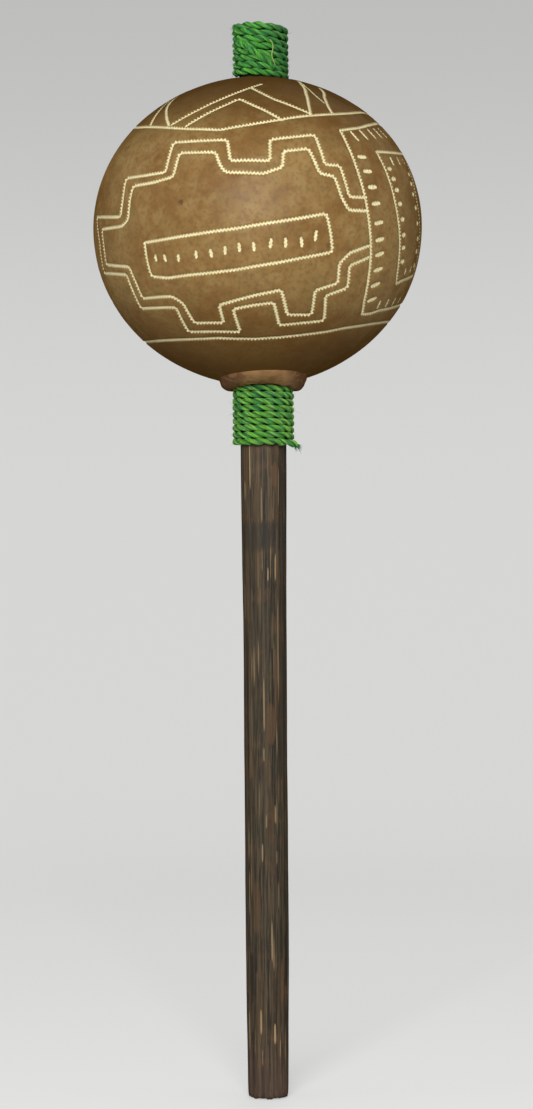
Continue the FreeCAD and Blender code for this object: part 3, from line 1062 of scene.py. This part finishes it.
def cordMaterial():
    material, tree, shader, place = startMaterial("greenCord")
    lay = addNode(tree, "ShaderNodeAttribute", attribute_name="lay", attribute_type="GEOMETRY")
    lay = lay.outputs["Vector"]
    fibre = useFibre(tree, lay, 4.2, 0.26)
    bundle = useFibre(tree, lay, 1.5, 0.13)
    mottle = useMottle(tree, place, 190.0, 480.0, 2400.0)
    dye = between(tree, mottle.outputs["Cloud"], 0.36, 0.64)
    green = mixColour(tree, dye, (0.012, 0.175, 0.042, 1), (0.060, 0.290, 0.012, 1))
    bright = between(tree, bundle.outputs["Streak"], 0.47, 0.62)
    green = layer(tree, green, (0.215, 0.580, 0.048), bright, 0.90)
    pale = between(tree, fibre.outputs["Strand"], 0.70, 0.90)
    green = layer(tree, green, (0.340, 0.560, 0.120), pale, 0.62)
    # painted shade where each strand turns in against the other one
    lays = addNode(tree, "ShaderNodeSeparateXYZ", {0: lay}).outputs[0]
    outer = minus(tree, lays, times(tree, calc(tree, "GREATER_THAN", lays, 2.0), 4.0))
    paintedPlyShade = opposite(tree, between(tree, outer, -0.55, 0.45))
    green = layer(tree, green, (0.004, 0.045, 0.010), paintedPlyShade, 0.75)
    deep = opposite(tree, between(tree, fibre.outputs["Streak"], 0.30, 0.52))
    green = layer(tree, green, (0.006, 0.070, 0.012), deep, 0.75)
    teal = between(tree, mottle.outputs["Patch"], 0.54, 0.68)
    green = layer(tree, green, (0.018, 0.280, 0.075), teal, 0.35)
    # the upper cord is deeper in colour, and its right side is darker with painted shade
    parts = addNode(tree, "ShaderNodeSeparateXYZ", {0: place})
    right = times(tree, between(tree, parts.outputs[0], -0.002, 0.011), 0.50)
    upper = calc(tree, "GREATER_THAN", parts.outputs[2], 0.40)
    green = layer(tree, green, (0.010, 0.085, 0.020), right, upper)
    green = mixColour(tree, upper, green, (0.60, 0.90, 0.84, 1), "MULTIPLY")
    # the pale thread carries 40 and the frayed end -40 in the lay attribute
    green = mixColour(tree, calc(tree, "GREATER_THAN", lays, 20.0), green, (0.42, 0.50, 0.12, 1))
    green = mixColour(tree, calc(tree, "LESS_THAN", lays, -20.0), green, (0.014, 0.150, 0.055, 1))
    gloss = plus(tree, times(tree, fibre.outputs["Streak"], 0.25), 0.50)
    finishSurface(tree, shader, green, gloss, fibre.outputs["Streak"], 1.0, 0.0005)
    shader.inputs["Sheen Weight"].default_value = 0.05
    dullRim(tree, shader, 0.3)
    return material


# sizes in mm; the ring climbs onto the gourd at the front and its lip hangs lower at the sides
collar = {
    "around": 160, "sideRadius": 18.0, "frontSpread": 7.2, "backSpread": 2.0,
    "lipRadius": 14.2, "lipLow": 295.9, "lipLift": 2.3, "socketRadius": 13.3, "lump": 0.24,
}


def buildCollar(material):
    around = collar["around"]
    curve = 12
    rows = []
    for k in range(around):
        bearing = 2 * math.pi * k / around
        c, s = math.cos(bearing), math.sin(bearing)
        front = max(0.0, -s) ** 1.6
        back = max(0.0, s) ** 1.6
        spread = collar["frontSpread"] * front + collar["backSpread"] * back
        topRadius = collar["sideRadius"] + spread
        topHeight = gourdSkin(topRadius * c, topRadius * s, False)
        lip = collar["lipLow"] + collar["lipLift"] * (front + 0.5 * back)
        lip += 0.25 * wander(c * 2.2, s * 2.2, 0, 3.0)
        corners = [
            (topRadius + 0.6, topHeight + 0.5),
            (topRadius - 0.1 - 0.1 * spread, topHeight - 0.7 - 0.18 * spread),
            (17.2 + 0.14 * spread, lip - 0.1),
            (collar["lipRadius"], lip),
        ]
        profile = []
        for step in range(curve + 1):
            t = step / curve
            weights = ((1 - t) ** 3, 3 * t * (1 - t) ** 2, 3 * t * t * (1 - t), t ** 3)
            r = sum(w * p[0] for w, p in zip(weights, corners))
            z = sum(w * p[1] for w, p in zip(weights, corners))
            soft = math.sin(math.pi * t)
            lump = wander(c * 4, s * 4, t * 3, 2.0) + 0.5 * wander(c * 9, s * 9, t * 6, 6.0)
            lump *= collar["lump"]
            profile.append((r + lump * soft, z - 0.3 * lump * soft))
        # from the lip into the socket, in to the stick and up under the gourd
        socket = collar["socketRadius"]
        profile += [(collar["lipRadius"] - 0.45, lip - 0.05), (socket, lip + 0.35), (socket - 0.1, 299.0)]
        profile += [(9.9, 299.4), (9.9, 303.0), (topRadius - 2.0, topHeight + 1.6)]
        rows.append(profile)
    levels = len(rows[0])
    points = []
    for level in range(levels):
        for k, row in enumerate(rows):
            r, z = row[level]
            bearing = 2 * math.pi * k / around
            points.append(Vector((r * math.cos(bearing), r * math.sin(bearing), z)) * mm)
    faces = [face[::-1] for face in ringFaces(levels, around)]
    last = (levels - 1) * around
    for k in range(around):
        j = (k + 1) % around
        faces.append((k, j, last + j, last + k))
    piece = addPiece("sealCollar", points, faces, material, "maraca", "neck_collar")
    print("collar:", len(faces), "faces")
    return piece


def collarMaterial():
    material, tree, shader, place = startMaterial("sealResin")
    mottle = useMottle(tree, place, 150.0, 420.0, 1300.0)
    cloud = between(tree, mottle.outputs["Cloud"], 0.28, 0.68)
    resin = mixColour(tree, cloud, (0.200, 0.093, 0.034, 1), (0.325, 0.178, 0.074, 1))
    # painted shade: darker towards both sides
    aside = addNode(tree, "ShaderNodeSeparateXYZ", {0: place}).outputs[0]
    aside = calc(tree, "ABSOLUTE", minus(tree, aside, 0.001))
    resin = layer(tree, resin, (0.108, 0.040, 0.008), between(tree, aside, 0.007, 0.015), 0.92)
    patch = between(tree, mottle.outputs["Patch"], 0.50, 0.68)
    resin = layer(tree, resin, (0.330, 0.200, 0.085), patch, 0.5)
    height = addNode(tree, "ShaderNodeSeparateXYZ", {0: place}).outputs[2]
    low = opposite(tree, between(tree, height, 0.2970, 0.3010))
    soil = times(tree, low, between(tree, mottle.outputs["Patch"], 0.47, 0.62))
    resin = layer(tree, resin, (0.060, 0.028, 0.014), soil, 0.75)
    gloss = plus(tree, times(tree, mottle.outputs["Patch"], 0.25), 0.30)
    height = times(tree, mottle.outputs["Speck"], 0.3)
    height = plus(tree, mottle.outputs["Patch"], height)
    finishSurface(tree, shader, resin, gloss, height, 0.5, 0.0003)
    dullRim(tree, shader, 0.18)
    shader.inputs["Subsurface Weight"].default_value = 0.08
    shader.inputs["Subsurface Radius"].default_value = (0.002, 0.001, 0.0006)
    return material


def seedMaterial():
    material, tree, shader, place = startMaterial("hardSeed")
    mottle = useMottle(tree, place, 260.0, 900.0, 3000.0)
    cloud = between(tree, mottle.outputs["Cloud"], 0.35, 0.65)
    coat = mixColour(tree, cloud, (0.022, 0.013, 0.009, 1), (0.095, 0.048, 0.024, 1))
    speck = between(tree, mottle.outputs["Speck"], 0.55, 0.70)
    coat = layer(tree, coat, (0.200, 0.120, 0.065), speck, 0.5)
    gloss = plus(tree, times(tree, mottle.outputs["Patch"], 0.3), 0.18)
    finishSurface(tree, shader, coat, gloss, mottle.outputs["Patch"], 0.4, 0.0002)
    return material


def finishSeeds(material):
    count = 0
    for name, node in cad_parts.items():
        if name.startswith("seed_"):
            for place in node.material_slots:
                place.material = material
            count += 1
    print("seeds:", count)


studio = {
    "floorRadius": 0.8, "bendRadius": 3.4, "wallTop": 4.6, "around": 96,
    "paper": (0.56, 0.56, 0.553, 1), "farPaper": (0.02, 0.02, 0.02, 1),
    "nearGlow": (0.330, 0.330, 0.326, 1), "farGlow": (0.655, 0.655, 0.647, 1),
    "highGlow": (0.500, 0.500, 0.495, 1),
    "farLight": (0.34, 0.34, 0.335, 1),
    "roomLight": (0.192, 0.197, 0.204, 1),
}


def buildStudio():
    bend = studio["bendRadius"]
    profile = [(0.0, 0.0), (0.4, 0.0), (studio["floorRadius"], 0.0)]
    for k in range(1, 25):
        angle = math.radians(90 * k / 24)
        profile.append((studio["floorRadius"] + bend * math.sin(angle), bend * (1 - math.cos(angle))))
    profile.append((studio["floorRadius"] + bend, studio["wallTop"]))
    around = studio["around"]
    points = [(r * math.cos(2 * math.pi * k / around), r * math.sin(2 * math.pi * k / around), z)
              for r, z in profile[1:] for k in range(around)]
    faces = ringFaces(len(profile) - 1, around)
    points.append((0, 0, 0))
    centre = len(points) - 1
    faces += [(centre, k, (k + 1) % around) for k in range(around)]
    faces = [face[::-1] if face[0] != centre else face for face in faces]
    mesh = bpy.data.meshes.new("paperBowl")
    mesh.from_pydata(points, [], faces)
    mesh.shade_smooth()
    material, tree, shader, place = startMaterial("palePaper")
    shader.inputs["Roughness"].default_value = 0.9
    shader.inputs["Specular IOR Level"].default_value = 0.1
    # near the rattle the paper takes its light from the lamps
    # further out it glows evenly, so that no lamp shows on it
    parts = addNode(tree, "ShaderNodeSeparateXYZ", {0: place})
    flat = addNode(tree, "ShaderNodeCombineXYZ", {0: parts.outputs[0], 1: parts.outputs[1]}).outputs[0]
    out = addNode(tree, "ShaderNodeVectorMath", {0: flat}, operation="LENGTH").outputs["Value"]
    far = between(tree, out, 0.6, 1.4)
    tree.links.new(mixColour(tree, far, studio["paper"], studio["farPaper"]), shader.inputs["Base Color"])
    high = between(tree, parts.outputs[2], 0.25, 1.15)
    glow = mixColour(tree, high, studio["farGlow"], studio["highGlow"])
    glow = mixColour(tree, far, studio["nearGlow"], glow)
    light = mixColour(tree, far, (0, 0, 0, 1), studio["farLight"])
    seen = tree.nodes.new("ShaderNodeLightPath").outputs["Is Camera Ray"]
    tree.links.new(mixColour(tree, seen, light, glow), shader.inputs["Emission Color"])
    shader.inputs["Emission Strength"].default_value = 1.0
    # the bowl is seen through from outside, so that low and far views still show the rattle
    away = tree.nodes.new("ShaderNodeNewGeometry").outputs["Backfacing"]
    clear = tree.nodes.new("ShaderNodeBsdfTransparent")
    both = addNode(tree, "ShaderNodeMixShader", {0: away, 1: shader.outputs[0], 2: clear.outputs[0]})
    tree.links.new(both.outputs[0], tree.nodes["Material Output"].inputs[0])
    mesh.materials.append(material)
    bowl = bpy.data.objects.new("paperBowl", mesh)
    bpy.context.scene.collection.objects.link(bowl)

    world = bpy.data.worlds.new("softRoom")
    bpy.context.scene.world = world
    world.use_nodes = True
    # soft light from the room, which looks as pale as the paper where it is seen past the paper's edge
    room = world.node_tree
    seen = room.nodes.new("ShaderNodeLightPath").outputs["Is Camera Ray"]
    colour = mixColour(room, seen, studio["roomLight"], studio["farGlow"])
    room.links.new(colour, room.nodes["Background"].inputs[0])


# place, aim, width, height in metres and power in watts
lamps = {
    "keyBox": {"place": (-0.15, -2.1, 0.95), "aim": (0, 0, 0.28), "size": (1.1, 0.8), "power": 54},
    "leftFill": {"place": (-2.2, -0.6, 1.0), "aim": (0, 0, 0.25), "size": (1.0, 1.4), "power": 3},
    "rightFill": {"place": (2.2, -0.5, 1.0), "aim": (0, 0, 0.25), "size": (1.0, 1.4), "power": 2},
    "backTop": {"place": (0.3, 2.2, 1.6), "aim": (0, 0, 0.3), "size": (1.6, 1.0), "power": 8},
}


def buildLamps():
    for name, lamp in lamps.items():
        data = bpy.data.lights.new(name, "AREA")
        data.shape = "RECTANGLE"
        data.size, data.size_y = lamp["size"]
        data.energy = lamp["power"]
        light = bpy.data.objects.new(name, data)
        bpy.context.scene.collection.objects.link(light)
        light.location = lamp["place"]
        light.rotation_euler = (Vector(lamp["aim"]) - light.location).to_track_quat("-Z", "Y").to_euler()
        light.visible_camera = False


# metres and degrees
view = {"distance": 1.256, "height": 0.2273, "side": 0.0009, "roll": 0.44, "lens": 97.2}


def buildCamera():
    data = bpy.data.cameras.new("viewCamera")
    data.lens = view["lens"]
    data.sensor_fit = "VERTICAL"
    data.sensor_height = 36.0
    data.clip_start = 0.05
    camera = bpy.data.objects.new("viewCamera", data)
    bpy.context.scene.collection.objects.link(camera)
    level = Matrix.Rotation(math.radians(90), 4, "X")
    roll = Matrix.Rotation(math.radians(-view["roll"]), 4, "Z")
    stand = Matrix.Translation((view["side"], -view["distance"], view["height"]))
    camera.matrix_world = stand @ level @ roll
    bpy.context.scene.camera = camera


buildCamera()
buildStudio()
buildLamps()
bpy.context.scene.view_settings.view_transform = "Standard"
print("studio ready")

buildGourd(gourdMaterial())
buildStick(palmMaterial())
cordGreen = cordMaterial()
buildWinding("lowerCord", lowerWinding, cordGreen, frayedTip())
buildWinding("upperCord", upperWinding, cordGreen, crossingPass() + paleThread())
buildCollar(collarMaterial())
finishSeeds(seedMaterial())
